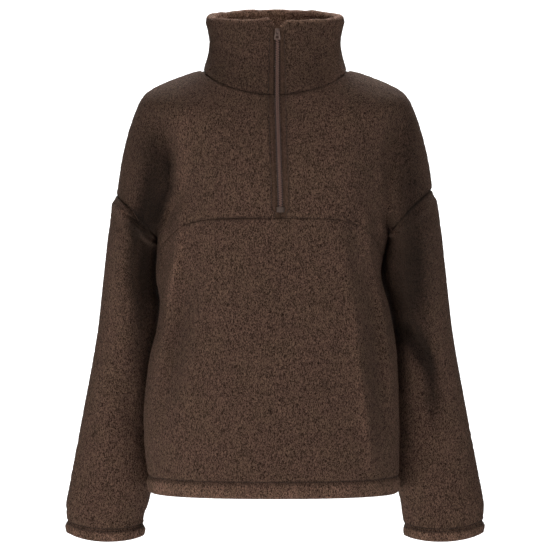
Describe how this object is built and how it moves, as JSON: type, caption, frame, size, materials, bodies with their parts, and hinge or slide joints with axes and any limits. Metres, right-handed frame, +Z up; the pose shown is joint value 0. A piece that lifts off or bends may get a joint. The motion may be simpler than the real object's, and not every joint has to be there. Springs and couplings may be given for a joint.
{
  "type": "half-zip pile fleece pullover",
  "caption": "Half-zip pile fleece pullover with a tall funnel collar, yoke seam, drop shoulders, wide sleeves and turned-up hems, filled out as if worn.",
  "frame": {"origin": "midway between the two high shoulder points, at the base of the neck, where the garment hangs on the wearer", "axes": "+X towards the wearer's left arm, -Y to the front, +Z up"},
  "size_m": [0.6346, 0.2506, 0.8089],
  "materials": {
    "fleece": "deep curly pile, matt with a soft edge glow",
    "zip_tape": "woven tape, matt",
    "zip_chain": "moulded coil, satin",
    "zip_metal": "dyed metal, satin"
  },
  "bodies": {
    "garment": {"upper_front_left": "fleece", "upper_front_right": "fleece", "upper_back": "fleece", "lower_front": "fleece", "lower_back": "fleece", "sleeve_left": "fleece", "sleeve_right": "fleece", "collar": "fleece", "zip_tape_left": "zip_tape", "zip_tape_right": "zip_tape", "zip_chain": "zip_chain", "zip_slider": "zip_metal"},
    "pull_tab": {"pull_tab": "zip_metal"}
  },
  "joints": [
    {"name": "pull_tab_swing", "type": "hinge", "parent": "garment", "child": "pull_tab", "pos_m": [0.0034, -0.08075, 0.0478], "axis": [-1, 0, 0], "range_deg": [0, 150]}
  ]
}
